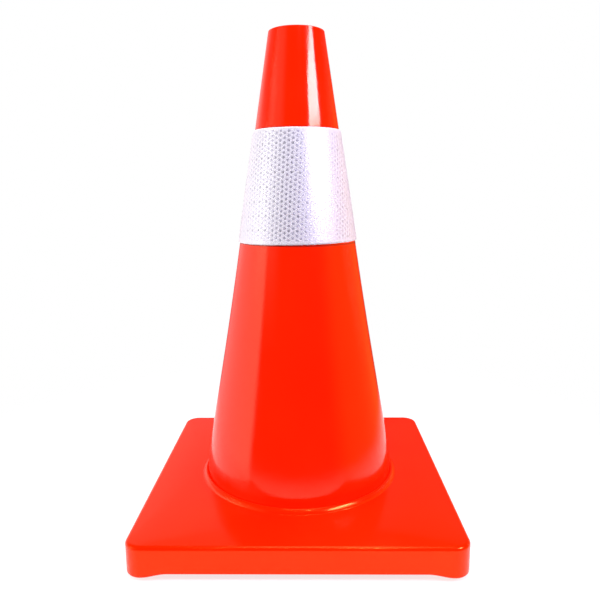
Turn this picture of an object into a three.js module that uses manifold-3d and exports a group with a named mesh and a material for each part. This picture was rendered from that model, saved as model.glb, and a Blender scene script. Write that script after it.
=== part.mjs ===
// A small traffic cone: a hollow tapered cone body, the square base that it is clipped into, and a
// slip-on reflective collar made of a white backing sleeve with a prismatic film on it.
//
// Units are millimetres and +Z is up. The origin is the centre of the base on the floor, so the
// undersides of the four moulded feet lie at z = 0. The collar slides up +Z and off the cone.
import * as THREE from 'three';
import { mergeVertices } from 'three/addons/utils/BufferGeometryUtils.js';
import Module from 'manifold-3d';

const wasm = await Module();
wasm.setup();

// ---------------------------------------------------------------------------------------------
// Driving dimensions
// ---------------------------------------------------------------------------------------------

const HEIGHT = 450; // floor to top rim
const ROUND_STEPS = 64; // facets round the cone, the base's hole and the collar
const FIT_GAP = 0.3; // clearance between pieces that touch

// Cone body: a shell that tapers evenly at the top and flares a little more lower down.
const WALL = 3; // shell thickness
const RIM_RADIUS = 25.3; // outside radius at the top rim
const RIM_ROUND = 0.7; // rounding of the rim's two edges
const TAPER = 0.156; // growth of the radius for each mm down from the rim
const FLARE_TOP = 250; // the flare starts here and grows with the square of the distance down
const FLARE = 1.03e-4;
const EASE_TOP = 82; // the flare eases off below this height
const TURN_TOP = 47; // it turns upright between here and the neck
const TURN_SLOPE = 0.115; // growth of the radius for each mm down at TURN_TOP
const NECK_TOP = 42; // upright from here down, where the cone stands in the base
const FLANGE_RADIUS = 97; // flange that lies against the underside of the base plate
const FLANGE_THICKNESS = 4;

// Base: a crowned plate with a skirt, a raised ring round the cone and four moulded feet.
const BASE_WIDTH = 282;
const BASE_EDGE_TOP = 31; // height of the plate's edge
const BASE_CROWN = 2.4; // rise of the plate from its edge to the raised ring
const BASE_CORNER_RADIUS = 15;
const BASE_EDGE_ROUND = 3.6;
const SKIRT_BOTTOM = 7;
const SKIRT_WALL = 5;
const SKIRT_CHAMFER = 1;
const PLATE_UNDERSIDE = 26;
const HOLLOW_CORNER_RADIUS = 60; // large, so that each corner is solid above its foot
const RING_FOOT_RADIUS = 98; // where the raised ring rises out of the plate
const RING_CREST = { radius: 93.1, z: 37.5 };
const HOLE_CLEARANCE = 0.4; // between the neck and the base's hole
const CORNER_STEPS = 8; // facets round each corner of the base

// Underside of the base.
const RIB_THICKNESS = 3.5;
const RIB_BOTTOM = 21;
const LONG_RIB_OFFSET = 99.5; // centre line of the four long ribs, from the middle
const CROSS_RIB_OFFSETS = [-66, -33, 0, 33, 66];
const FOOT_INSET = 14; // foot centre, in from each side of the base
const FOOT_STEPS = 32;

// Collar: two thin layers round the cone.
const COLLAR_BOTTOM = 262.4;
const COLLAR_WIDTH = 101.6; // measured straight up
const BACKING_THICKNESS = 0.6;
const FILM_THICKNESS = 0.5;
const FILM_MARGIN = 0.6; // backing left showing above and below the film
const LAP_WIDTH = 12; // overlap of the sleeve's two ends, at the back of the cone
const LAP_THICKNESS = 0.5;

// ---------------------------------------------------------------------------------------------
// Materials
// ---------------------------------------------------------------------------------------------

function glossyPvc(color) {
  return new THREE.MeshStandardMaterial({ color, roughness: 0.22, metalness: 0 });
}

function whiteBacking() {
  return new THREE.MeshStandardMaterial({ color: 0xf2f1f4, roughness: 0.45, metalness: 0 });
}

function prismaticFilm() {
  return new THREE.MeshStandardMaterial({ color: 0xdcd9ea, roughness: 0.18, metalness: 0.1 });
}

// ---------------------------------------------------------------------------------------------
// Geometry helpers
// ---------------------------------------------------------------------------------------------

function toSolid(geometry) {
  const bare = geometry.clone();
  bare.deleteAttribute('normal');
  bare.deleteAttribute('uv');
  const merged = mergeVertices(bare, 1e-4);
  const mesh = new wasm.Mesh({
    numProp: 3,
    vertProperties: merged.attributes.position.array,
    triVerts: new Uint32Array(merged.index.array),
  });
  return new wasm.Manifold(mesh);
}

function toGeometry(solid) {
  const mesh = solid.getMesh();
  const geometry = new THREE.BufferGeometry();
  geometry.setAttribute('position', new THREE.BufferAttribute(mesh.vertProperties, 3));
  geometry.setIndex(new THREE.BufferAttribute(mesh.triVerts, 1));
  geometry.computeVertexNormals();
  return geometry;
}

function namedMesh(name, geometry, material) {
  const mesh = new THREE.Mesh(geometry, material);
  mesh.name = name;
  return mesh;
}

// Turns a profile of [radius, z] points about the Z axis. The profile runs anticlockwise.
function turned(profile, steps = ROUND_STEPS) {
  const points = profile.map(([radius, z]) => new THREE.Vector2(radius, z));
  const geometry = new THREE.LatheGeometry(points, steps);
  geometry.rotateX(Math.PI / 2);
  return geometry;
}

function closedProfile(points) {
  return [...points, points[0]];
}

function roundPost(radius, low, high, steps = ROUND_STEPS) {
  const geometry = new THREE.CylinderGeometry(radius, radius, high - low, steps);
  geometry.rotateX(Math.PI / 2);
  geometry.translate(0, 0, (low + high) / 2);
  return geometry;
}

function block(lowCorner, highCorner) {
  const low = new THREE.Vector3(...lowCorner);
  const high = new THREE.Vector3(...highCorner);
  const size = high.clone().sub(low);
  const middle = low.clone().add(high).multiplyScalar(0.5);
  return new THREE.BoxGeometry(size.x, size.y, size.z).translate(middle.x, middle.y, middle.z);
}

// Outline of a square with round corners, anticlockwise seen from above.
function roundedSquare(halfWidth, cornerRadius, z) {
  const outline = [];
  for (let corner = 0; corner < 4; corner++) {
    const startAngle = (corner * Math.PI) / 2;
    const middleAngle = startAngle + Math.PI / 4;
    const reach = (halfWidth - cornerRadius) * Math.SQRT2;
    for (let step = 0; step <= CORNER_STEPS; step++) {
      const angle = startAngle + (step / CORNER_STEPS) * (Math.PI / 2);
      outline.push([
        reach * Math.cos(middleAngle) + cornerRadius * Math.cos(angle),
        reach * Math.sin(middleAngle) + cornerRadius * Math.sin(angle),
        z,
      ]);
    }
  }
  return outline;
}

// Closed solid through a stack of outlines with the same number of points, from the lowest up.
function lofted(outlines) {
  const count = outlines[0].length;
  const positions = outlines.flat(2);
  const indices = [];
  for (let layer = 0; layer + 1 < outlines.length; layer++) {
    for (let i = 0; i < count; i++) {
      const next = (i + 1) % count;
      const low = layer * count;
      const high = low + count;
      indices.push(low + i, low + next, high + next);
      indices.push(low + i, high + next, high + i);
    }
  }
  const top = (outlines.length - 1) * count;
  for (let i = 1; i + 1 < count; i++) {
    indices.push(0, i + 1, i);
    indices.push(top, top + i, top + i + 1);
  }
  const geometry = new THREE.BufferGeometry();
  geometry.setAttribute('position', new THREE.Float32BufferAttribute(positions, 3));
  geometry.setIndex(indices);
  return geometry;
}

// ---------------------------------------------------------------------------------------------
// Cone body
// ---------------------------------------------------------------------------------------------

// Outside radius of the tapered and flared part.
function flaredRadius(z) {
  const flareDepth = Math.max(0, FLARE_TOP - z);
  return RIM_RADIUS + TAPER * (HEIGHT - z) + FLARE * flareDepth * flareDepth;
}

// Outside radius of the cone at a height between the neck and the rim. Below EASE_TOP the slope
// falls evenly to TURN_SLOPE, and then evenly to nothing at the neck.
function coneRadius(z) {
  if (z >= EASE_TOP) return flaredRadius(z);
  const easeSlope = TAPER + 2 * FLARE * (FLARE_TOP - EASE_TOP);
  const easeRate = (easeSlope - TURN_SLOPE) / (EASE_TOP - TURN_TOP);
  const turnRate = TURN_SLOPE / (TURN_TOP - NECK_TOP);
  const eased = EASE_TOP - Math.max(z, TURN_TOP);
  const turnedDepth = Math.max(0, TURN_TOP - z);
  const easeGrowth = easeSlope * eased - (easeRate * eased * eased) / 2;
  const turnGrowth = TURN_SLOPE * turnedDepth - (turnRate * turnedDepth * turnedDepth) / 2;
  return flaredRadius(EASE_TOP) + easeGrowth + turnGrowth;
}

const NECK_RADIUS = coneRadius(NECK_TOP);
const HOLE_RADIUS = NECK_RADIUS + HOLE_CLEARANCE;

function coneBody() {
  const flangeTop = PLATE_UNDERSIDE - FIT_GAP;
  const flangeBottom = flangeTop - FLANGE_THICKNESS;
  const fromRimDown = [400, 350, 300, 250, 205, 160, 120, 100, EASE_TOP, 70, 58, TURN_TOP, 44, NECK_TOP];
  const outside = fromRimDown.map((z) => [coneRadius(z), z]);
  const inside = outside.map(([radius, z]) => [radius - WALL, z]);
  const profile = closedProfile([
    [RIM_RADIUS - RIM_ROUND, HEIGHT],
    [RIM_RADIUS - WALL + RIM_ROUND, HEIGHT],
    [RIM_RADIUS - WALL, HEIGHT - RIM_ROUND],
    ...inside,
    [NECK_RADIUS - WALL, flangeBottom],
    [FLANGE_RADIUS - 1, flangeBottom],
    [FLANGE_RADIUS, flangeBottom + 1],
    [FLANGE_RADIUS, flangeTop],
    [NECK_RADIUS, flangeTop],
    ...outside.reverse(),
    [RIM_RADIUS + 0.1, HEIGHT - RIM_ROUND],
  ]);
  return namedMesh('cone_body', turned(profile), glossyPvc(0xff3a14));
}

// ---------------------------------------------------------------------------------------------
// Base
// ---------------------------------------------------------------------------------------------

// Solid plate and skirt: round corners, a rounded top edge and a gently crowned top whose
// outlines pass from the square edge to the circle of the raised ring.
function baseBlank() {
  const half = BASE_WIDTH / 2;
  const layers = [
    roundedSquare(half - SKIRT_CHAMFER, BASE_CORNER_RADIUS - SKIRT_CHAMFER, SKIRT_BOTTOM),
    roundedSquare(half, BASE_CORNER_RADIUS, SKIRT_BOTTOM + SKIRT_CHAMFER),
  ];
  for (let step = 0; step <= 4; step++) {
    const angle = (step / 4) * (Math.PI / 2);
    const inset = BASE_EDGE_ROUND * (1 - Math.cos(angle));
    const z = BASE_EDGE_TOP - BASE_EDGE_ROUND * (1 - Math.sin(angle));
    layers.push(roundedSquare(half - inset, BASE_CORNER_RADIUS - inset, z));
  }
  const edgeHalf = half - BASE_EDGE_ROUND;
  const edgeCorner = BASE_CORNER_RADIUS - BASE_EDGE_ROUND;
  for (const share of [0.25, 0.5, 0.75, 1]) {
    const width = THREE.MathUtils.lerp(edgeHalf, RING_FOOT_RADIUS, share);
    const corner = THREE.MathUtils.lerp(edgeCorner, RING_FOOT_RADIUS, share);
    const z = BASE_EDGE_TOP + BASE_CROWN * share * (2 - share);
    layers.push(roundedSquare(width, corner, z));
  }
  return toSolid(lofted(layers));
}

function raisedRing() {
  const plateTop = BASE_EDGE_TOP + BASE_CROWN;
  const profile = closedProfile([
    [HOLE_RADIUS - 1, plateTop - 3],
    [RING_FOOT_RADIUS + 0.5, plateTop - 3],
    [RING_FOOT_RADIUS + 0.5, plateTop - 0.2],
    [RING_FOOT_RADIUS - 1.4, plateTop + 0.3],
    [RING_CREST.radius + 2.2, RING_CREST.z - 1.7],
    [RING_CREST.radius + 1.2, RING_CREST.z - 0.4],
    [RING_CREST.radius, RING_CREST.z],
    [HOLE_RADIUS, RING_CREST.z - 0.8],
    [HOLE_RADIUS - 1, RING_CREST.z - 0.8],
  ]);
  return toSolid(turned(profile));
}

// Upright prism with round corners.
function prism(halfWidth, cornerRadius, low, high) {
  return toSolid(
    lofted([
      roundedSquare(halfWidth, cornerRadius, low),
      roundedSquare(halfWidth, cornerRadius, high),
    ]),
  );
}

// Long ribs along the four sides, with short cross ribs between them and the skirt.
function underRibs() {
  const reach = BASE_WIDTH / 2 - SKIRT_WALL / 2;
  const half = RIB_THICKNESS / 2;
  const top = PLATE_UNDERSIDE + 1;
  const ribs = [];
  for (const side of [-1, 1]) {
    const inner = side * LONG_RIB_OFFSET;
    ribs.push([[-reach, inner - half, RIB_BOTTOM], [reach, inner + half, top]]);
    ribs.push([[inner - half, -reach, RIB_BOTTOM], [inner + half, reach, top]]);
    const low = Math.min(side * reach, inner);
    const high = Math.max(side * reach, inner);
    for (const along of CROSS_RIB_OFFSETS) {
      ribs.push([[along - half, low, RIB_BOTTOM], [along + half, high, top]]);
      ribs.push([[low, along - half, RIB_BOTTOM], [high, along + half, top]]);
    }
  }
  return ribs.map(([low, high]) => toSolid(block(low, high)));
}

// One foot: a flat pad that swells in a soft trumpet curve into the corner of the skirt.
function cornerFoot(signX, signY) {
  const profile = [
    [0, 0],
    [5, 0],
    [8, 0.7],
    [11, 2.2],
    [13.5, 3.9],
    [17, 5.3],
    [21, 6.3],
    [26, SKIRT_BOTTOM + 0.2],
    [26, SKIRT_BOTTOM + 2],
    [0, SKIRT_BOTTOM + 2],
  ];
  const offset = BASE_WIDTH / 2 - FOOT_INSET;
  return toSolid(turned(profile, FOOT_STEPS)).translate([signX * offset, signY * offset, 0]);
}

function base() {
  const half = BASE_WIDTH / 2;
  const outline = prism(half, BASE_CORNER_RADIUS, -1, PLATE_UNDERSIDE);
  const hollow = prism(half - SKIRT_WALL, HOLLOW_CORNER_RADIUS, -2, PLATE_UNDERSIDE);
  let solid = baseBlank();
  for (const signX of [-1, 1]) {
    for (const signY of [-1, 1]) {
      solid = solid.add(cornerFoot(signX, signY).intersect(outline));
    }
  }
  solid = solid.subtract(hollow);
  for (const rib of underRibs()) solid = solid.add(rib);
  solid = solid.add(raisedRing());
  solid = solid.subtract(toSolid(roundPost(HOLE_RADIUS, -1, HEIGHT)));
  return namedMesh('base', toGeometry(solid), glossyPvc(0xff3d18));
}

// ---------------------------------------------------------------------------------------------
// Collar
// ---------------------------------------------------------------------------------------------

// A conical layer that starts a given distance off the cone's surface.
function conicalLayer(offset, thickness, low, high) {
  const heights = [low, low + (high - low) / 3, high - (high - low) / 3, high];
  const inner = heights.map((z) => [coneRadius(z) + offset, z]);
  const outer = inner.map(([radius, z]) => [radius + thickness, z]);
  return closedProfile([...inner.reverse(), ...outer]);
}

function collarBacking() {
  const profile = conicalLayer(
    FIT_GAP,
    BACKING_THICKNESS,
    COLLAR_BOTTOM,
    COLLAR_BOTTOM + COLLAR_WIDTH,
  );
  return namedMesh('collar_backing', turned(profile), whiteBacking());
}

// The film carries a thicker strip at the back, where the sleeve's two ends overlap.
function collarFilm() {
  const low = COLLAR_BOTTOM + FILM_MARGIN;
  const high = COLLAR_BOTTOM + COLLAR_WIDTH - FILM_MARGIN;
  const offset = FIT_GAP + BACKING_THICKNESS + FIT_GAP;
  const film = toSolid(turned(conicalLayer(offset, FILM_THICKNESS, low, high)));
  const thick = toSolid(turned(conicalLayer(offset, FILM_THICKNESS + LAP_THICKNESS, low, high)));
  const strip = toSolid(block([-LAP_WIDTH / 2, 0, low - 1], [LAP_WIDTH / 2, BASE_WIDTH, high + 1]));
  const solid = film.add(thick.intersect(strip));
  return namedMesh('collar_film', toGeometry(solid), prismaticFilm());
}

// ---------------------------------------------------------------------------------------------
// Assembly
// ---------------------------------------------------------------------------------------------

const cone = new THREE.Group();
cone.name = 'traffic_cone';
cone.add(coneBody(), base());

const collar = new THREE.Group();
collar.name = 'collar';
collar.add(collarBacking(), collarFilm());
cone.add(collar);

export default cone;
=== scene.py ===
"""Looks for the traffic cone: fine meshes, materials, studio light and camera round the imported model.

Lengths in this file are millimetres unless a comment says otherwise; mesh_piece() turns them into
metres. Azimuths are measured from the front (-Y) towards +X.
"""

import math

import bpy
import numpy as np
from mathutils import Matrix, Vector


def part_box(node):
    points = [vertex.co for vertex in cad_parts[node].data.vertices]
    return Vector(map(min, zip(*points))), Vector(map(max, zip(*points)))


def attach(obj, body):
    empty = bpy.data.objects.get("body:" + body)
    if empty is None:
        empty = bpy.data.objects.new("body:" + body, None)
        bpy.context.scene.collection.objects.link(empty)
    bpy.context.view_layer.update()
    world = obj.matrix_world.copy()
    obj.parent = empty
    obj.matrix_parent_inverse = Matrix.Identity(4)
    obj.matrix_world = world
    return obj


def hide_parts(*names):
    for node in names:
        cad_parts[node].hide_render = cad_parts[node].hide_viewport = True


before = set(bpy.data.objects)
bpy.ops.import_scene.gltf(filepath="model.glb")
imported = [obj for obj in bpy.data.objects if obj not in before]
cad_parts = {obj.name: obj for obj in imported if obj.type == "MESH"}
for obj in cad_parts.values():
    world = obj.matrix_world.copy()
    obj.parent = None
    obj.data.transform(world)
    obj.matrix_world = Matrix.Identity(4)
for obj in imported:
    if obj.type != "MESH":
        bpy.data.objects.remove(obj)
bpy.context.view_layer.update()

MM = 0.001  # one millimetre in metres

# ---------------------------------------------------------------------------------------------
# Sizes: read from the frame where it holds them
# ---------------------------------------------------------------------------------------------

cone_low, cone_high = (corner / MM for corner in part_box("cone_body"))
base_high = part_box("base")[1] / MM
sleeve_low, sleeve_high = (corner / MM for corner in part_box("collar_backing"))
film_low, film_high = (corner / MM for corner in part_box("collar_film"))

# Cone: radii on the outside, heights above the floor. TAPER and TURN_SLOPE are radius per height.
HEIGHT = cone_high.z
WALL = 3.0
RIM_RADIUS = 25.3
RIM_ROUND = 0.7
TAPER = 0.156
FLARE_TOP = 250.0
FLARE = 1.03e-4
EASE_TOP = 82.0
TURN_TOP = 47.0
TURN_SLOPE = 0.115
NECK_TOP = 42.0
FLANGE_RADIUS = cone_high.x
FLANGE_BOTTOM = cone_low.z
FLANGE_THICKNESS = 4.0
FLANGE_TOP = FLANGE_BOTTOM + FLANGE_THICKNESS
FLANGE_TOP_ROUND = 0.5
FLANGE_BOTTOM_ROUND = 1.0
BORE_ROUND = 0.8
UNEVENNESS = 0.05

# Base: LONG_RIB is how far from the middle the long ribs run, and RIB_SINK how far all ribs reach
# into the plate.
BASE_HALF = base_high.x
BASE_EDGE_TOP = 31.0
BASE_CROWN = 2.4
BASE_CORNER = 15.0
BASE_EDGE_ROUND = 3.6
SKIRT_BOTTOM = 7.0
SKIRT_WALL = 5.0
SKIRT_ROUND = 1.0
PLATE_UNDERSIDE = 26.0
HOLLOW_CORNER = 60.0
HOLLOW_ROUND = 1.5
NECK_GAP = 0.4
RING_FOOT = 98.0
RING_TOP = base_high.z
FOOT_CENTRE = BASE_HALF - 14.0
FOOT_PAD = 5.0
FOOT_SWELL = 21.0
RIB_THICKNESS = 3.5
RIB_BOTTOM = 21.0
RIB_SINK = 0.4
RIB_ROUND = 0.4
LONG_RIB = 99.5
RIB_SPACING = 33.0

# Collar: offsets are from the cone. EDGE_DROP is the sag of its lower edge on the left,
# EDGE_MARGIN the room left for it, and PILLOW the height of a raised cell.
SLEEVE_OFFSET = 0.3
SLEEVE_THICKNESS = 0.6
FILM_OFFSET = 1.2
FILM_THICKNESS = 0.42
FILM_LAP = 12.0
LAP_GAP = 0.1
EDGE_DROP = 0.8
EDGE_MARGIN = 0.9
CELL_PITCH = 4.2
CELL_COLUMN = CELL_PITCH * math.sqrt(3) / 2
CELL_HALF = CELL_PITCH / 2
CELL_LEAN = math.radians(3.0)
PILLOW = 0.09

FLOOR_RADIUS = 900.0
FLOOR_DROP = 0.2

ROUND_STEPS = 320


def smoothstep(t):
    t = np.clip(t, 0.0, 1.0)
    return t * t * (3.0 - 2.0 * t)


def mix(a, b, share):
    return a + (b - a) * share


# ---------------------------------------------------------------------------------------------
# Mesh helpers
# ---------------------------------------------------------------------------------------------


def mesh_piece(name, vertices, faces, sharp_degrees=40.0):
    mesh = bpy.data.meshes.new(name)
    mesh.from_pydata((np.asarray(vertices) * MM).tolist(), [], faces)
    mesh.update()
    mesh.shade_smooth()
    mesh.set_sharp_from_angle(angle=math.radians(sharp_degrees))
    piece = bpy.data.objects.new(name, mesh)
    bpy.context.scene.collection.objects.link(piece)
    return piece


def signed_volume(vertices, quads):
    a, b, c, d = (vertices[quads[:, k]] for k in range(4))
    volume = np.einsum("ij,ij->i", a, np.cross(b, c)) + np.einsum("ij,ij->i", a, np.cross(c, d))
    return volume.sum()


def ring_solid(name, loops):
    """Closed solid round Z: loops[i, j] is point j of loop i, and the last loop meets the first."""
    loop_count, step_count = loops.shape[:2]
    i, j = np.meshgrid(np.arange(loop_count), np.arange(step_count), indexing="ij")
    this_loop = i * step_count
    next_loop = (i + 1) % loop_count * step_count
    next_j = (j + 1) % step_count
    corners = (this_loop + j, this_loop + next_j, next_loop + next_j, next_loop + j)
    quads = np.stack([corner.ravel() for corner in corners], axis=1)
    vertices = loops.reshape(-1, 3)
    if signed_volume(vertices, quads) < 0:
        quads = quads[:, ::-1]
    return mesh_piece(name, vertices, quads.tolist())


def turned_loops(profile, unevenness):
    """Loops of a [radius, z] profile turned about Z, with a little added to each point's radius."""
    azimuth = np.linspace(0, 2 * math.pi, ROUND_STEPS, endpoint=False)
    z = profile[:, 1:] + np.zeros_like(azimuth)
    radius = profile[:, :1] + unevenness(azimuth[None, :], z)
    return np.stack([radius * np.sin(azimuth), -radius * np.cos(azimuth), z], axis=2)


def arc(centre, radius, start_degrees, end_degrees, steps):
    angle = np.radians(np.linspace(start_degrees, end_degrees, steps))
    return np.stack([centre[0] + radius * np.cos(angle), centre[1] + radius * np.sin(angle)], axis=1)


def smooth_curve(points, per_span=6):
    """Catmull-Rom curve through [a, b] points."""
    points = np.asarray(points, float)
    ends = np.vstack([2 * points[0] - points[1], points, 2 * points[-1] - points[-2]])
    out = []
    for k in range(len(points) - 1):
        p0, p1, p2, p3 = ends[k : k + 4]
        slope = p2 - p0
        bend = 2 * p0 - 5 * p1 + 4 * p2 - p3
        twist = 3 * p1 - p0 - 3 * p2 + p3
        for t in np.arange(per_span) / per_span:
            out.append(0.5 * (2 * p1 + slope * t + bend * t**2 + twist * t**3))
    out.append(points[-1])
    return np.array(out)


def finish_piece(piece, body, slot, material, *nodes):
    """Gives a piece its material and body, and hides the CAD nodes that it stands for; the slot argument is
    not used.
    """
    piece.data.materials.append(material)
    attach(piece, body)
    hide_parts(*nodes)


# ---------------------------------------------------------------------------------------------
# Cone body
# ---------------------------------------------------------------------------------------------


def upper_radius(z):
    """Straight taper, with a slow flare that grows from FLARE_TOP down."""
    drop = np.maximum(0.0, FLARE_TOP - z)
    return RIM_RADIUS + TAPER * (HEIGHT - z) + FLARE * drop**2


def cone_radius(z):
    """Below EASE_TOP the slope falls evenly to TURN_SLOPE, and then evenly to nothing at the neck."""
    z = np.asarray(z, float)
    ease_slope = TAPER + 2 * FLARE * (FLARE_TOP - EASE_TOP)
    eased = np.clip(EASE_TOP - z, 0, EASE_TOP - TURN_TOP)
    turned = np.clip(TURN_TOP - z, 0, TURN_TOP - NECK_TOP)
    ease_growth = ease_slope * eased - (ease_slope - TURN_SLOPE) / (EASE_TOP - TURN_TOP) * eased**2 / 2
    turn_growth = TURN_SLOPE * turned - TURN_SLOPE / (TURN_TOP - NECK_TOP) * turned**2 / 2
    return upper_radius(np.maximum(z, EASE_TOP)) + ease_growth + turn_growth


NECK_RADIUS = float(cone_radius(NECK_TOP))
HOLE_RADIUS = NECK_RADIUS + NECK_GAP


def cone_unevenness(azimuth, z):
    """Slight out-of-round of a thin moulded shell; none in the neck and the flange."""
    fade = smoothstep((z - NECK_TOP) / 60.0)
    slow = np.sin(3 * azimuth + 0.9 + z / 170.0) + 0.6 * np.sin(5 * azimuth - 1.3 - z / 90.0)
    return UNEVENNESS * fade * slow


def make_cone(material):
    heights = np.concatenate(
        [
            np.arange(HEIGHT - RIM_ROUND, EASE_TOP, -4.0),
            np.arange(EASE_TOP, TURN_TOP, -2.5),
            np.arange(TURN_TOP, NECK_TOP, -0.5),
            np.arange(NECK_TOP, FLANGE_TOP + 1.0, -3.0),
            [FLANGE_TOP],
        ]
    )
    outside = np.stack([cone_radius(heights), heights], axis=1)
    inside = outside[::-1] - [WALL, 0.0]
    edge_top = (FLANGE_RADIUS - FLANGE_TOP_ROUND, FLANGE_TOP - FLANGE_TOP_ROUND)
    edge_bottom = (FLANGE_RADIUS - FLANGE_BOTTOM_ROUND, FLANGE_BOTTOM + FLANGE_BOTTOM_ROUND)
    bore_edge = (NECK_RADIUS - WALL + BORE_ROUND, FLANGE_BOTTOM + BORE_ROUND)
    flange = np.concatenate(
        [
            arc(edge_top, FLANGE_TOP_ROUND, 90, 0, 4),
            arc(edge_bottom, FLANGE_BOTTOM_ROUND, 0, -90, 5),
            arc(bore_edge, BORE_ROUND, -90, -180, 4),
        ]
    )
    rim_top = HEIGHT - RIM_ROUND
    rim_inside = arc((RIM_RADIUS - WALL + RIM_ROUND, rim_top), RIM_ROUND, 180, 90, 6)
    rim_outside = arc((float(cone_radius(rim_top)) - RIM_ROUND, rim_top), RIM_ROUND, 90, 0, 6)
    profile = np.concatenate([outside, flange, inside[1:-1], rim_inside, rim_outside[:-1]])
    piece = ring_solid("cone_shell", turned_loops(profile, cone_unevenness))
    finish_piece(piece, "cone", "cone_pvc", material, "cone_body")


# ---------------------------------------------------------------------------------------------
# Base
# ---------------------------------------------------------------------------------------------


def base_azimuths(steps=512, corner_density=0.5):
    """Azimuths closer together at the four corners."""
    even = np.linspace(0, 2 * math.pi, steps, endpoint=False)
    from_corner = even - math.pi / 4
    return even - corner_density * np.sin(4 * from_corner) / 4


def outline(half, corner, azimuth):
    """Distance from the middle to a square with round corners, along each azimuth."""
    along = np.maximum(np.abs(np.cos(azimuth)), np.abs(np.sin(azimuth)))
    across = np.minimum(np.abs(np.cos(azimuth)), np.abs(np.sin(azimuth)))
    reach = half - corner
    side = half / along
    under_root = np.maximum(0.0, corner**2 - (reach * (along - across)) ** 2)
    round_part = reach * (along + across) + np.sqrt(under_root)
    return np.where(side * across <= reach, side, round_part)


def foot_height(x, y):
    """Height of the skirt's bottom: flat pads near the corners that swell up into the skirt."""
    distance = np.hypot(np.abs(x) - FOOT_CENTRE, np.abs(y) - FOOT_CENTRE)
    share = np.clip((distance - FOOT_PAD) / FOOT_SWELL, 0, 1)
    return SKIRT_BOTTOM * smoothstep(share**0.7)


def ring_curve():
    """Radius and height from the hole up over the ring and down to the plate."""
    return smooth_curve(
        [
            [HOLE_RADIUS, RING_TOP - 2.0],
            [NECK_RADIUS + 0.12, RING_TOP - 1.2],
            [NECK_RADIUS + 0.45, RING_TOP - 0.65],
            [92.4, RING_TOP - 0.2],
            [93.1, RING_TOP],
            [93.8, RING_TOP - 0.22],
            [94.5, RING_TOP - 0.85],
            [95.2, RING_TOP - 1.67],
            [95.8, RING_TOP - 2.5],
            [96.2, RING_TOP - 3.4],
            [96.5, RING_TOP - 3.95],
            [97.0, RING_TOP - 4.08],
            [98.6, BASE_EDGE_TOP + BASE_CROWN],
        ]
    )


def make_base(material):
    """Loops go up the hole, over the ring and the plate, down the skirt and back underneath."""
    azimuth = base_azimuths()
    sine, cosine = np.sin(azimuth), -np.cos(azimuth)
    loops = []

    def loop(distance, z):
        distance = distance + np.zeros_like(azimuth)
        loops.append(np.stack([distance * sine, distance * cosine, z + np.zeros_like(azimuth)], axis=1))

    # Hole, ring and plate
    for z in np.linspace(PLATE_UNDERSIDE, RING_TOP - 2.8, 6):
        loop(HOLE_RADIUS, z)
    for radius, z in ring_curve():
        loop(radius, z)
    edge_half = BASE_HALF - BASE_EDGE_ROUND
    edge_corner = BASE_CORNER - BASE_EDGE_ROUND
    # share runs from nearly 1 at the foot of the ring to 0 at the rounded edge
    for share in np.linspace(0.955, 0.0, 36):
        distance = outline(mix(edge_half, RING_FOOT, share), mix(edge_corner, RING_FOOT, share), azimuth)
        loop(distance, BASE_EDGE_TOP + BASE_CROWN * share * (2 - share))
    for angle in np.radians(np.linspace(82, 0, 11)):
        inset = BASE_EDGE_ROUND * (1 - math.cos(angle))
        z = BASE_EDGE_TOP - BASE_EDGE_ROUND * (1 - math.sin(angle))
        loop(outline(BASE_HALF - inset, BASE_CORNER - inset, azimuth), z)

    # Skirt, its rounded lower edge and its bottom
    wall_top = BASE_EDGE_TOP - BASE_EDGE_ROUND
    rim = outline(BASE_HALF, BASE_CORNER, azimuth)
    rim_foot = foot_height(rim * sine, rim * cosine)
    for share in np.linspace(0, 1, 10)[1:]:
        loop(rim, mix(wall_top, rim_foot + SKIRT_ROUND, share))
    for angle in np.radians(np.linspace(0, 90, 6)[1:]):
        inset = SKIRT_ROUND * (1 - math.cos(angle))
        distance = outline(BASE_HALF - inset, BASE_CORNER - inset, azimuth)
        height = foot_height(distance * sine, distance * cosine)
        loop(distance, height + SKIRT_ROUND * (1 - math.sin(angle)))
    for share in np.linspace(0, 1, 20)[1:]:
        half = mix(BASE_HALF - SKIRT_ROUND, BASE_HALF - SKIRT_WALL, share)
        distance = outline(half, mix(BASE_CORNER - SKIRT_ROUND, HOLLOW_CORNER, share), azimuth)
        loop(distance, foot_height(distance * sine, distance * cosine))

    # Inside of the skirt and underside of the plate
    bottom = loops[-1][:, 2]
    inner = outline(BASE_HALF - SKIRT_WALL, HOLLOW_CORNER, azimuth)
    for share in np.linspace(0, 1, 7)[1:]:
        loop(inner, mix(bottom, PLATE_UNDERSIDE - HOLLOW_ROUND, share))
    for angle in np.radians(np.linspace(0, 90, 5)[1:]):
        distance = inner - HOLLOW_ROUND * (1 - math.cos(angle))
        loop(distance, PLATE_UNDERSIDE - HOLLOW_ROUND * (1 - math.sin(angle)))
    for share in np.linspace(0, 1, 8)[1:-1]:
        loop(mix(inner - HOLLOW_ROUND, HOLE_RADIUS, share), PLATE_UNDERSIDE)
    piece = ring_solid("base_moulding", np.array(loops))
    finish_piece(piece, "cone", "base_pvc", material, "base")


def rib_boxes():
    """Low and high corner of each rib: four long ones round the hole, and short ones to the skirt."""
    half = RIB_THICKNESS / 2
    low_z, high_z = RIB_BOTTOM, PLATE_UNDERSIDE + RIB_SINK
    reach = BASE_HALF - SKIRT_WALL / 2
    boxes = []
    for inner in (-LONG_RIB, LONG_RIB):
        outer = math.copysign(reach, inner)
        first, last = sorted((inner, outer))
        boxes.append(((-reach, inner - half, low_z), (reach, inner + half, high_z)))
        boxes.append(((inner - half, -reach, low_z), (inner + half, reach, high_z)))
        for step in (-2, -1, 0, 1, 2):
            along = step * RIB_SPACING
            boxes.append(((along - half, first, low_z), (along + half, last, high_z)))
            boxes.append(((first, along - half, low_z), (last, along + half, high_z)))
    return boxes


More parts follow.
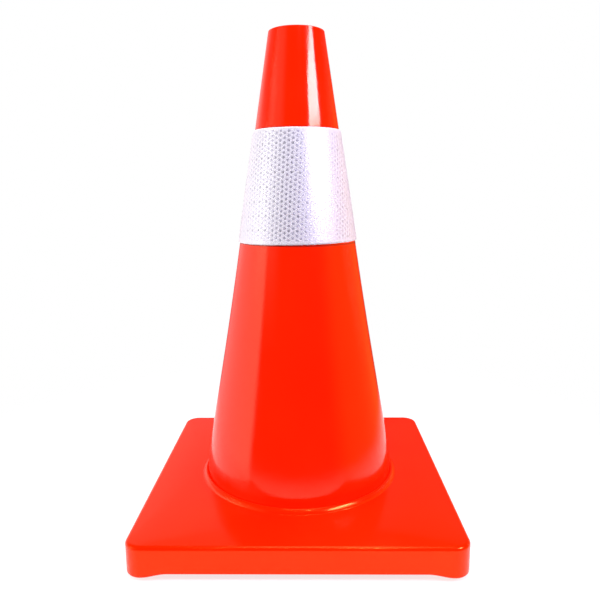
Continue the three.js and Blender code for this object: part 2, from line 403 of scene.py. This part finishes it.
def box_mesh(boxes):
    """Vertices and outward faces of boxes given by their low and high corners."""
    sides = ((0, 2, 3, 1), (4, 5, 7, 6), (0, 1, 5, 4), (1, 3, 7, 5), (3, 2, 6, 7), (2, 0, 4, 6))
    vertices, faces = [], []
    for low, high in boxes:
        start = len(vertices)
        xs, ys, zs = zip(low, high)
        vertices += [(x, y, z) for z in zs for y in ys for x in xs]
        faces += [tuple(start + k for k in side) for side in sides]
    return vertices, faces


def make_ribs(material):
    """The crossing ribs are joined into one solid, and its edges softened."""
    boxes = rib_boxes()
    piece = mesh_piece("base_ribs", *box_mesh(boxes[1:]), sharp_degrees=30)
    first = mesh_piece("first_rib", *box_mesh(boxes[:1]))
    union = piece.modifiers.new("union", "BOOLEAN")
    union.operation = "UNION"
    union.solver = "EXACT"
    union.use_self = True
    union.object = first
    depsgraph = bpy.context.evaluated_depsgraph_get()
    joined = bpy.data.meshes.new_from_object(piece.evaluated_get(depsgraph))
    piece.modifiers.clear()
    piece.data = joined
    bpy.data.objects.remove(first)
    bevel = piece.modifiers.new("soft_edges", "BEVEL")
    bevel.width = RIB_ROUND * MM
    bevel.segments = 2
    bevel.limit_method = "ANGLE"
    finish_piece(piece, "cone", "base_pvc", material, "base")


# ---------------------------------------------------------------------------------------------
# Collar
# ---------------------------------------------------------------------------------------------


def collar_wave(azimuth, height):
    """How far the loose sleeve stands off; height runs from 0 at its bottom to 1 at its top."""
    middle = np.sin(math.pi * np.clip(height, 0, 1)) ** 0.7
    ripple = np.sin(2 * azimuth + 0.4)
    ripple = ripple + 0.7 * np.sin(5 * azimuth + 2.0 + 2.5 * height)
    ripple = ripple + 0.4 * np.sin(9 * azimuth)
    return middle * (0.16 + 0.07 * ripple)


def collar_edge(azimuth, height):
    """The lower edge hangs a little lower on the left than on the right."""
    return EDGE_DROP * np.sin(azimuth) * (1 - height) ** 2


def collar_place(azimuth, height, offset, low, high):
    """Points of the collar, a given distance off the cone."""
    z = mix(low, high, height) + collar_edge(azimuth, height)
    radius = cone_radius(z) + offset + collar_wave(azimuth, height)
    return np.stack([radius * np.sin(azimuth), -radius * np.cos(azimuth), z + 0 * radius], axis=-1)


def make_sleeve(material):
    """Loops go up the outside of the sheet and down its inside, with one at mid-thickness at each end."""
    azimuth = np.linspace(0, 2 * math.pi, ROUND_STEPS, endpoint=False)
    rows = np.linspace(0, 1, 28)
    outer = SLEEVE_OFFSET + SLEEVE_THICKNESS
    middle = SLEEVE_OFFSET + SLEEVE_THICKNESS / 2
    low, high = sleeve_low.z + EDGE_MARGIN, sleeve_high.z

    def loop(row, offset):
        return collar_place(azimuth, np.array(row), offset, low, high)

    loops = [loop(row, outer) for row in rows]
    loops.append(loop(1.0, middle))
    loops += [loop(row, SLEEVE_OFFSET) for row in rows[::-1]]
    loops.append(loop(0.0, middle))
    piece = ring_solid("collar_sleeve", np.array(loops))
    finish_piece(piece, "collar", "collar_white", material, "collar_backing")


def hex_distance(across, up):
    """Distance from the nearest cell's middle, 0 there and half a pitch on its edge."""

    def fold(value, period):
        return np.abs((value + period) % (2 * period) - period)

    def reach(x, y):
        return np.maximum(y, x * math.cos(math.pi / 6) + y / 2)

    x, y = fold(across, CELL_COLUMN), fold(up, CELL_HALF)
    return np.minimum(reach(x, y), reach(CELL_COLUMN - x, CELL_HALF - y))


def developed(azimuth, z):
    """Where a point of the cone lies on the flat sheet that the film was cut from."""
    slant = math.hypot(1, TAPER)
    apex = HEIGHT + RIM_RADIUS / TAPER
    distance = (apex - z) * slant
    angle = azimuth * TAPER / slant
    across = distance * np.sin(angle)
    up = (apex - film_low.z) * slant - distance * np.cos(angle)
    turned_across = across * math.cos(CELL_LEAN) - up * math.sin(CELL_LEAN)
    turned_up = across * math.sin(CELL_LEAN) + up * math.cos(CELL_LEAN)
    return turned_across, turned_up


def strip_faces(columns, rows, back_rows):
    """Faces of the strip: a fine front, a coarse back that has only back_rows, and the four edges."""
    back_count = len(back_rows)
    top, back_top = rows - 1, back_count - 1

    def front(column, row):
        return column * rows + row

    def back(column, row):
        return columns * rows + column * back_count + row

    faces = []
    for c in range(columns - 1):
        d = c + 1
        faces += [(front(c, r), front(d, r), front(d, r + 1), front(c, r + 1)) for r in range(top)]
        faces += [(back(c, r), back(c, r + 1), back(d, r + 1), back(d, r)) for r in range(back_top)]
        faces.append((front(d, 0), front(c, 0), back(c, 0), back(d, 0)))
        faces.append((front(c, top), front(d, top), back(d, back_top), back(c, back_top)))
    for r in range(back_top):
        span = range(back_rows[r], back_rows[r + 1] + 1)
        first, last = 0, columns - 1
        faces.append([front(first, k) for k in span] + [back(first, r + 1), back(first, r)])
        faces.append([front(last, k) for k in reversed(span)] + [back(last, r), back(last, r + 1)])
    return faces


def make_film(material):
    """A strip wrapped round the sleeve, with its last end lapped over its first at the back."""
    low, high = film_low.z + EDGE_MARGIN, film_high.z
    mean_radius = float(cone_radius((low + high) / 2))
    lap = FILM_LAP / 2 / mean_radius
    columns, rows, back_every = 660, 209, 16
    azimuth = np.linspace(-math.pi - lap, math.pi + lap, columns)
    height = np.linspace(0, 1, rows)
    azimuths, heights = np.meshgrid(azimuth, height, indexing="ij")
    above_bottom = heights * (high - low)
    below_top = (1 - heights) * (high - low)
    from_edge = np.minimum(heights, 1 - heights) * (high - low)

    lift = (FILM_THICKNESS + LAP_GAP) * smoothstep((azimuths - (math.pi - lap - 0.16)) / 0.14)
    z = mix(low, high, heights) + collar_edge(azimuths, heights)
    across, up = developed(azimuths, z)
    border = smoothstep((above_bottom - 2.5) / 1.5) * smoothstep((below_top - 1.5) / 1.5)
    pillow = PILLOW * border * (1 - smoothstep(hex_distance(across, up) / CELL_HALF))
    edge_round = 0.12 * (1 - smoothstep(from_edge / 0.8))
    outer = FILM_OFFSET + FILM_THICKNESS + lift + pillow - edge_round
    front = collar_place(azimuths, heights, outer, low, high)

    back_rows = np.arange(0, rows, back_every)

    def coarse(values):
        return values[:, back_rows]

    back = collar_place(coarse(azimuths), coarse(heights), FILM_OFFSET + coarse(lift), low, high)
    vertices = np.concatenate([front.reshape(-1, 3), back.reshape(-1, 3)])
    faces = strip_faces(columns, rows, back_rows)
    piece = mesh_piece("collar_film_strip", vertices, faces, sharp_degrees=50)

    def front_and_back(values):
        return np.concatenate([values.ravel(), coarse(values).ravel()])

    # Two maps: "sheet" is the flat sheet, and "band" is the azimuth and the height in the strip.
    sheet = np.stack([front_and_back(across), front_and_back(up)], axis=1)
    band = np.stack([front_and_back(azimuths), front_and_back(above_bottom)], axis=1)
    corner_vertex = np.empty(len(piece.data.loops), dtype=np.int32)
    piece.data.loops.foreach_get("vertex_index", corner_vertex)
    for name, values in (("sheet", sheet), ("band", band)):
        layer = piece.data.uv_layers.new(name=name)
        layer.data.foreach_set("uv", values[corner_vertex].astype(np.float32).ravel())
    finish_piece(piece, "collar", "reflective_film", material, "collar_film")


# ---------------------------------------------------------------------------------------------
# Materials: object coordinates are metres, and the film's two maps are millimetres
# ---------------------------------------------------------------------------------------------


class NodeTree:
    """Short calls for building a shader."""

    def __init__(self, owner):
        owner.use_nodes = True
        self.tree = owner.node_tree
        self.tree.nodes.clear()

    def node(self, kind, settings=None, **inputs):
        made = self.tree.nodes.new(kind)
        for key, value in (settings or {}).items():
            setattr(made, key, value)
        for key, value in inputs.items():
            self.put(made.inputs[key.replace("_", " ")], value)
        return made

    def put(self, socket, value):
        if isinstance(value, bpy.types.NodeSocket):
            self.tree.links.new(value, socket)
        else:
            socket.default_value = value

    def math(self, operation, *values):
        made = self.tree.nodes.new("ShaderNodeMath")
        made.operation = operation
        for socket, value in zip(made.inputs, values):
            self.put(socket, value)
        return made.outputs[0]

    def remap(self, value, low, high, to_low=0.0, to_high=1.0, smooth=True):
        made = self.tree.nodes.new("ShaderNodeMapRange")
        made.interpolation_type = "SMOOTHSTEP" if smooth else "LINEAR"
        for socket, put in zip(made.inputs, (value, low, high, to_low, to_high)):
            self.put(socket, put)
        return made.outputs[0]

    def mix_color(self, share, a, b, blend="MIX"):
        made = self.tree.nodes.new("ShaderNodeMix")
        made.data_type = "RGBA"
        made.blend_type = blend
        self.put(made.inputs[0], share)
        self.put(made.inputs[6], a)
        self.put(made.inputs[7], b)
        return made.outputs[2]

    def vector(self, operation, a, b=None):
        """Vector maths, with the number or the vector that comes out."""
        made = self.tree.nodes.new("ShaderNodeVectorMath")
        made.operation = operation
        self.put(made.inputs[0], a)
        if b is not None:
            self.put(made.inputs[1], b)
        return made.outputs["Value" if operation in ("DOT_PRODUCT", "LENGTH") else "Vector"]

    def blend(self, kind, *shaders, share=None):
        """Adds two shaders, or mixes them: share is how much of the second shows."""
        made = self.tree.nodes.new(kind)
        if share is not None:
            self.put(made.inputs[0], share)
        for socket, shader in zip(list(made.inputs)[-2:], shaders):
            self.put(socket, shader)
        return made.outputs[0]

    def noise(self, place, scale, detail=2.0, roughness=0.5):
        made = self.node("ShaderNodeTexNoise", Vector=place, Scale=scale)
        self.put(made.inputs["Detail"], detail)
        self.put(made.inputs["Roughness"], roughness)
        return made.outputs["Fac"]

    def bump(self, height, strength, distance, normal=None):
        made = self.node("ShaderNodeBump", Height=height, Strength=strength, Distance=distance)
        if normal is not None:
            self.put(made.inputs["Normal"], normal)
        return made.outputs["Normal"]


def rgb(red, green, blue):
    return (red, green, blue, 1.0)


# Dark red for the painted shade lines on the cone along the collar's edges.
COLLAR_EDGE_SHADE_COLOR = rgb(0.30, 0.010, 0.004)


def pvc_material(name, deep, light, gloss_tint, roughness, shade_line_heights=()):
    """Glossy moulded PVC, with faint clouds, orange peel, hairline scuffs and painted shade lines along the
    collar's edges; matt inside.
    """
    material = bpy.data.materials.new(name)
    t = NodeTree(material)
    coordinates = t.node("ShaderNodeTexCoord").outputs
    place = coordinates["Object"]
    clouds = t.noise(place, 9.0, detail=3.0)
    color = t.mix_color(t.remap(clouds, 0.35, 0.65), rgb(*deep), rgb(*light))
    z = t.node("ShaderNodeSeparateXYZ", Vector=place).outputs["Z"]
    # Painted shade: a thin dark line at each given height, where the collar's edge meets the cone.
    for height in shade_line_heights:
        off = t.math("ABSOLUTE", t.math("SUBTRACT", z, height * MM))
        line = t.math("MULTIPLY", t.remap(off, 1.2 * MM, 0.4 * MM), t.remap(clouds, 0.25, 0.6, 0.35, 0.75))
        color = t.mix_color(line, color, COLLAR_EDGE_SHADE_COLOR)
    streaks = t.node("ShaderNodeMapping", Vector=place, Scale=(400.0, 400.0, 16.0)).outputs[0]
    scuffs = t.remap(t.noise(streaks, 1.0, detail=4.0, roughness=0.65), 0.60, 0.78)
    patches = t.remap(t.noise(place, 22.0, detail=2.0), 0.48, 0.70)
    wear = t.math("MULTIPLY", scuffs, patches)
    fine = t.noise(place, 55.0, detail=3.0)
    gloss = t.remap(fine, 0.3, 0.7, roughness - 0.025, roughness + 0.025)
    gloss = t.math("ADD", gloss, t.math("MULTIPLY", wear, 0.10))
    from_axis = t.vector("MULTIPLY", place, (1.0, 1.0, 0.0))
    facing = t.vector("DOT_PRODUCT", coordinates["Normal"], from_axis)  # below 0 where a face looks inwards
    gloss = t.math("ADD", gloss, t.remap(facing, -0.004, -0.012, 0.0, 0.38))
    peel = t.bump(t.noise(place, 260.0, detail=1.0), 0.05, 0.0006)
    ripple = t.bump(t.noise(place, 34.0, detail=1.0), 0.05, 0.0016, normal=peel)
    shader = t.node(
        "ShaderNodeBsdfPrincipled",
        Base_Color=color,
        Roughness=gloss,
        IOR=1.45,
        Specular_Tint=rgb(*gloss_tint),
        Normal=ripple,
    )
    t.node("ShaderNodeOutputMaterial", Surface=shader.outputs[0])
    return material


def sleeve_material():
    """Matt white PVC sheet, which shows as a thin border above and below the film."""
    material = bpy.data.materials.new("white_sheet")
    t = NodeTree(material)
    place = t.node("ShaderNodeTexCoord").outputs["Object"]
    clouds = t.noise(place, 40.0, detail=3.0)
    color = t.mix_color(clouds, rgb(0.80, 0.74, 0.80), rgb(0.88, 0.85, 0.89))
    grain = t.bump(t.noise(place, 900.0, detail=1.0), 0.12, 0.0003)
    gloss = t.remap(clouds, 0.3, 0.7, 0.38, 0.48)
    shader = t.node("ShaderNodeBsdfPrincipled", Base_Color=color, Roughness=gloss, Normal=grain)
    t.node("ShaderNodeOutputMaterial", Surface=shader.outputs[0])
    return material


def film_material():
    """Prismatic film: silvery lavender cells in a white honeycomb, under a clear glossy face."""
    material = bpy.data.materials.new("prismatic_film")
    t = NodeTree(material)
    sheet = t.node("ShaderNodeUVMap", {"uv_map": "sheet"}).outputs[0]
    band = t.node("ShaderNodeUVMap", {"uv_map": "band"}).outputs[0]
    sheet_xyz = t.node("ShaderNodeSeparateXYZ", Vector=sheet)
    height = t.node("ShaderNodeSeparateXYZ", Vector=band).outputs["Y"]

    def reach(x, y):
        slanted = t.math("ADD", t.math("MULTIPLY", x, math.cos(math.pi / 6)), t.math("MULTIPLY", y, 0.5))
        return t.math("MAXIMUM", y, slanted)

    # The cells, which stop short of the plain borders along both edges
    x = t.math("PINGPONG", sheet_xyz.outputs["X"], CELL_COLUMN)
    y = t.math("PINGPONG", sheet_xyz.outputs["Y"], CELL_HALF)
    other_x = t.math("SUBTRACT", CELL_COLUMN, x)
    other_y = t.math("SUBTRACT", CELL_HALF, y)
    distance = t.math("MINIMUM", reach(x, y), reach(other_x, other_y))
    cell = t.remap(distance, 1.36, 0.94)
    film_height = film_high.z - film_low.z - EDGE_MARGIN
    above_border = t.remap(height, 2.9, 3.2)
    below_border = t.remap(height, film_height - 1.6, film_height - 1.9)
    cell = t.math("MULTIPLY", cell, t.math("MULTIPLY", above_border, below_border))

    place = t.node("ShaderNodeTexCoord").outputs["Object"]
    clouds = t.noise(place, 30.0, detail=2.0)
    speckle = t.noise(place, 330.0, detail=1.0)
    white = t.mix_color(clouds, rgb(0.635, 0.60, 0.65), rgb(0.655, 0.635, 0.68))
    silver = t.mix_color(speckle, rgb(0.66, 0.62, 0.74), rgb(0.75, 0.72, 0.84))

    # One cell in every three rows and two columns is a little darker
    tile_y = t.math("PINGPONG", sheet_xyz.outputs["Y"], 1.5 * CELL_PITCH)
    spot = t.math("MULTIPLY", t.remap(x, 1.8, 0.8), t.remap(tile_y, 1.8, 0.9))
    silver = t.mix_color(t.math("MULTIPLY", spot, 0.36), silver, rgb(0.30, 0.30, 0.32))
    color = t.mix_color(cell, white, silver)
    metal = t.remap(cell, 0.0, 1.0, 0.20, 0.74, smooth=False)
    gloss = t.remap(cell, 0.0, 1.0, 0.36, 0.44, smooth=False)

    # Grooves in three directions make the prisms in each cell
    prisms = 0.0
    for degrees in (0, 60, 120):
        turn = t.node("ShaderNodeMapping", Vector=sheet, Rotation=(0.0, 0.0, math.radians(degrees)))
        groove = t.node("ShaderNodeTexWave", {"wave_profile": "TRI"}, Vector=turn.outputs[0], Scale=0.9)
        prisms = t.math("ADD", prisms, groove.outputs["Fac"])
    prism_bump = t.bump(t.math("MULTIPLY", prisms, cell), 0.10, 0.0001)
    wall_bump = t.bump(t.remap(distance, 1.35, 1.75), 0.35, 0.0002, normal=prism_bump)
    shader = t.node(
        "ShaderNodeBsdfPrincipled",
        Base_Color=color,
        Metallic=metal,
        Roughness=gloss,
        Normal=wall_bump,
        Sheen_Weight=0.6,
        Sheen_Roughness=0.5,
        Sheen_Tint=rgb(1.0, 0.86, 1.0),
        Coat_Weight=0.5,
        Coat_Roughness=0.12,
    )
    t.node("ShaderNodeOutputMaterial", Surface=shader.outputs[0])
    return material


# ---------------------------------------------------------------------------------------------
# Stage: floor, world, lights and camera
# ---------------------------------------------------------------------------------------------


def make_floor():
    """A round light table that glows round the cone, fades out at its rim and is clear from below."""
    azimuth = np.linspace(0, 2 * math.pi, 96, endpoint=False)
    level = np.full_like(azimuth, -FLOOR_DROP)
    rim = np.stack([FLOOR_RADIUS * np.cos(azimuth), FLOOR_RADIUS * np.sin(azimuth), level], axis=1)
    floor = mesh_piece("floor", rim, [list(range(len(azimuth)))])
    material = bpy.data.materials.new("floor_paper")
    t = NodeTree(material)
    distance = t.vector("LENGTH", t.node("ShaderNodeTexCoord").outputs["Object"])
    paper = t.node("ShaderNodeBsdfDiffuse", Color=rgb(0.25, 0.25, 0.25)).outputs[0]
    radiance = t.remap(distance, 0.08, 0.13, 0.30, 0.75)  # dimmer under the hollow cone
    glow = t.node("ShaderNodeEmission", Color=rgb(1, 1, 1), Strength=radiance).outputs[0]
    lit = t.blend("ShaderNodeAddShader", paper, glow)
    clear = t.node("ShaderNodeBsdfTransparent").outputs[0]
    below = t.node("ShaderNodeNewGeometry").outputs["Backfacing"]
    clearness = t.math("MAXIMUM", t.remap(distance, 0.22, 0.50), below)
    t.node("ShaderNodeOutputMaterial", Surface=t.blend("ShaderNodeMixShader", lit, clear, share=clearness))
    floor.data.materials.append(material)


# Reflected panels: azimuth from and to, elevation from and to, softness of both, the radiance at
# the two azimuths, and the colour.
PANELS = [
    ((-158, -61), (-45, 13), (4, 6), (0.3, 2.0), (1.0, 1.0, 1.0)),
    ((-84, -42), (8, 36), (14, 6), (0.60, 0.64), (1.0, 1.0, 1.0)),
    ((-160, -96), (8, 36), (8, 6), (0.15, 0.25), (1.0, 1.0, 1.0)),
    ((55, 150), (-35, 15), (18, 6), (0.42, 0.33), (1.8, 1.0, 0.12)),
    ((120, 178), (15, 36), (10, 6), (0.06, 0.12), (1.0, 1.0, 0.9)),
]
AMBIENT = 0.02
BACK_GLOW = rgb(0.4, 0.4, 0.4)
BACK_GLOW_DIRECTION = (-0.45, 0.80, 0.45)

# Colours of the lights
WHITE = (1.0, 1.0, 1.0)
COOL = (0.97, 0.91, 1.35)

# The camera's place, its heading, tilt and roll in degrees, and its lens and sensor
CAMERA_PLACE = (9.6, -578.2, 310.9)
CAMERA_TURN = (0.768, -10.359, -0.372)
CAMERA_LENS = 36.32
CAMERA_SENSOR = 36.0


def make_world():
    """Panels and a round glow that only reflections and shading see: the camera sees plain white."""
    world = bpy.data.worlds.new("studio")
    bpy.context.scene.world = world
    t = NodeTree(world)
    direction = t.node("ShaderNodeTexCoord").outputs["Generated"]
    xyz = t.node("ShaderNodeSeparateXYZ", Vector=direction)
    forward = t.math("MULTIPLY", xyz.outputs["Y"], -1.0)
    azimuth = t.math("DEGREES", t.math("ARCTAN2", xyz.outputs["X"], forward))
    elevation = t.math("DEGREES", t.math("ARCSINE", xyz.outputs["Z"]))

    def between(value, span, soft):
        rise = t.remap(value, span[0] - soft, span[0] + soft)
        fall = t.remap(value, span[1] + soft, span[1] - soft)
        return t.math("MULTIPLY", rise, fall)

    light = rgb(AMBIENT, AMBIENT, AMBIENT)
    for azimuths, elevations, softness, radiances, tint in PANELS:
        across = between(azimuth, azimuths, softness[0])
        mask = t.math("MULTIPLY", across, between(elevation, elevations, softness[1]))
        radiance = t.remap(azimuth, *azimuths, *radiances, smooth=False)
        panel = t.mix_color(1.0, t.math("MULTIPLY", mask, radiance), rgb(*tint), blend="MULTIPLY")
        light = t.mix_color(1.0, light, panel, blend="ADD")
    back = t.vector("DOT_PRODUCT", direction, Vector(BACK_GLOW_DIRECTION).normalized())
    glow = t.mix_color(t.remap(back, 0.80, 1.0), rgb(0, 0, 0), BACK_GLOW)
    light = t.mix_color(1.0, light, glow, blend="ADD")

    seen = t.node("ShaderNodeBackground", Color=rgb(1, 1, 1), Strength=1.0).outputs[0]
    lit = t.node("ShaderNodeBackground", Color=light, Strength=1.0).outputs[0]
    from_camera = t.node("ShaderNodeLightPath").outputs["Is Camera Ray"]
    t.node("ShaderNodeOutputWorld", Surface=t.blend("ShaderNodeMixShader", lit, seen, share=from_camera))
    world.cycles.sampling_method = "MANUAL"
    world.cycles.sample_map_resolution = 1024


def make_light(name, azimuth, elevation, distance, size, watts, height=0.16, color=WHITE, mirrored=False):
    """Area light turned to the cone's axis at a height; size is one or two lengths, all in metres.

    A mirrored light is seen in glossy faces, but not again in the reflection of a reflection.
    """
    data = bpy.data.lights.new(name, "AREA")
    if isinstance(size, tuple):
        data.shape = "RECTANGLE"
        data.size, data.size_y = size
    else:
        data.shape = "DISK"
        data.size = size
    data.energy = watts
    data.color = color
    a, e = math.radians(azimuth), math.radians(elevation)
    outward = Vector((math.sin(a) * math.cos(e), -math.cos(a) * math.cos(e), math.sin(e)))
    light = bpy.data.objects.new(name, data)
    light.location = Vector((0, 0, height)) + outward * distance
    light.rotation_mode = "QUATERNION"
    light.rotation_quaternion = outward.to_track_quat("Z", "Y")
    light.visible_glossy = mirrored
    light.visible_camera = False
    if mirrored:
        t = NodeTree(data)
        first = t.math("LESS_THAN", t.node("ShaderNodeLightPath").outputs["Glossy Depth"], 1.5)
        t.node("ShaderNodeOutputLight", Surface=t.node("ShaderNodeEmission", Strength=first).outputs[0])
    bpy.context.scene.collection.objects.link(light)


def make_camera():
    """Stands in front of the cone, a little above its middle, and looks slightly down."""
    data = bpy.data.cameras.new("camera")
    data.lens = CAMERA_LENS
    data.sensor_width = CAMERA_SENSOR
    camera = bpy.data.objects.new("camera", data)
    heading, tilt, roll = (math.radians(angle) for angle in CAMERA_TURN)
    turn = Matrix.Rotation(heading, 4, "Z")
    level = Matrix.Rotation(math.radians(90) + tilt, 4, "X") @ Matrix.Rotation(roll, 4, "Z")
    camera.matrix_world = Matrix.Translation(Vector(CAMERA_PLACE) * MM) @ turn @ level
    bpy.context.scene.collection.objects.link(camera)
    bpy.context.scene.camera = camera


make_camera()
make_world()

# The window is four panes above each other: a dim sill, and three that get narrower upwards.
make_light("window", 53, 0, 0.85, (0.50, 0.15), 6.4, height=0.765, color=COOL, mirrored=True)
make_light("window_head", 57, 0, 0.85, (0.40, 0.05), 1.7, height=0.865, color=COOL, mirrored=True)
make_light("window_top", 63, 0, 0.85, (0.22, 0.06), 0.9, height=0.92, color=COOL, mirrored=True)
make_light("window_sill", 53, 0, 0.85, (0.50, 0.17), 1.55, height=0.605, mirrored=True)

# Two lamps that show as highlights, and four fills that only light the colour
make_light("top_lamp", 20, 80, 1.3, 0.7, 3.0, mirrored=True)
make_light("front_lamp", 13, 50, 1.2, 0.12, 1.1, mirrored=True)
make_light("right_fill", 118, 12, 1.8, 1.2, 15)
make_light("left_fill", -80, 22, 1.8, 0.9, 25)
make_light("back_fill", 180, 62, 1.8, 1.0, 20)
make_light("front_fill", -14, 55, 2.6, 0.7, 42)
make_floor()

cone_pvc = pvc_material(
    "cone_pvc_gloss",
    deep=(0.93, 0.0100, 0.0002),
    light=(0.96, 0.0120, 0.0003),
    gloss_tint=(1.0, 0.97, 0.62),
    roughness=0.12,
    # Painted shade lines just below and just above the collar.
    shade_line_heights=(sleeve_low.z - 0.3, sleeve_high.z + 0.5),
)
base_pvc = pvc_material(
    "base_pvc_gloss",
    deep=(0.93, 0.0100, 0.0002),
    light=(0.96, 0.0125, 0.0004),
    gloss_tint=(1.0, 0.95, 0.20),
    roughness=0.14,
)
make_cone(cone_pvc)
make_base(base_pvc)
make_ribs(base_pvc)
make_sleeve(sleeve_material())
make_film(film_material())

bpy.context.scene.view_settings.view_transform = "Standard"
bpy.context.scene.cycles.use_denoising = True

bpy.context.view_layer.update()
